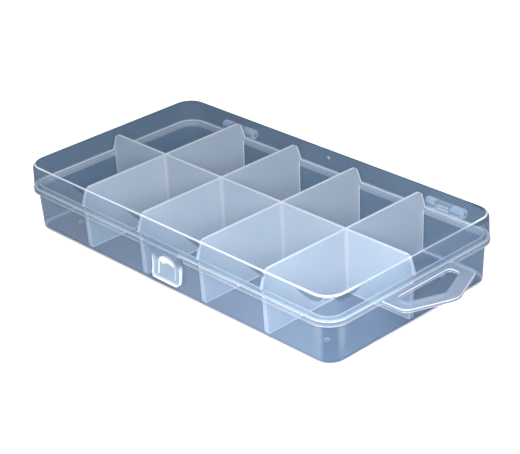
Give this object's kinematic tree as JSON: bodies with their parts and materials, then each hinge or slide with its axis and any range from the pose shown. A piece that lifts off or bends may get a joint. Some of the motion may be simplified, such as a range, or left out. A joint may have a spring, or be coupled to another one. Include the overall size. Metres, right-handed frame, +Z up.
{
  "type": "compartment storage box",
  "caption": "Flat clear plastic storage box with fixed compartments under a hinged lid, a snap clasp at the front and a finger loop at one end.",
  "frame": {"origin": "middle of the tray's underside", "axes": "+X along the length to the end with the loop, +Y to the back with the hinges, +Z up"},
  "size_m": [0.2098, 0.1077, 0.0322],
  "materials": {
    "clear_shell": "clear, faintly blue, polished",
    "clear_trim": "clear, faintly milky, polished",
    "milky_divider": "translucent, milky",
    "pivot": "translucent, milky"
  },
  "bodies": {
    "tray": {"tray": "clear_shell", "carry_loop": "clear_trim", "long_divider": "milky_divider", "cross_divider_1": "milky_divider", "cross_divider_2": "milky_divider", "cross_divider_3": "milky_divider", "cross_divider_4": "milky_divider", "hinge_pin_left": "pivot", "hinge_pin_right": "pivot"},
    "lid": {"lid": "clear_shell", "latch_pin": "pivot"},
    "latch": {"latch": "clear_trim"}
  },
  "joints": [
    {"name": "lid_hinge", "type": "hinge", "parent": "tray", "child": "lid", "pos_m": [0, 0.053, 0.0222], "axis": [-1, 0, 0], "range_deg": [0, 180]},
    {"name": "latch_hinge", "type": "hinge", "parent": "lid", "child": "latch", "pos_m": [0, -0.05135, 0.0222], "axis": [-1, 0, 0], "range_deg": [0, 115]}
  ]
}
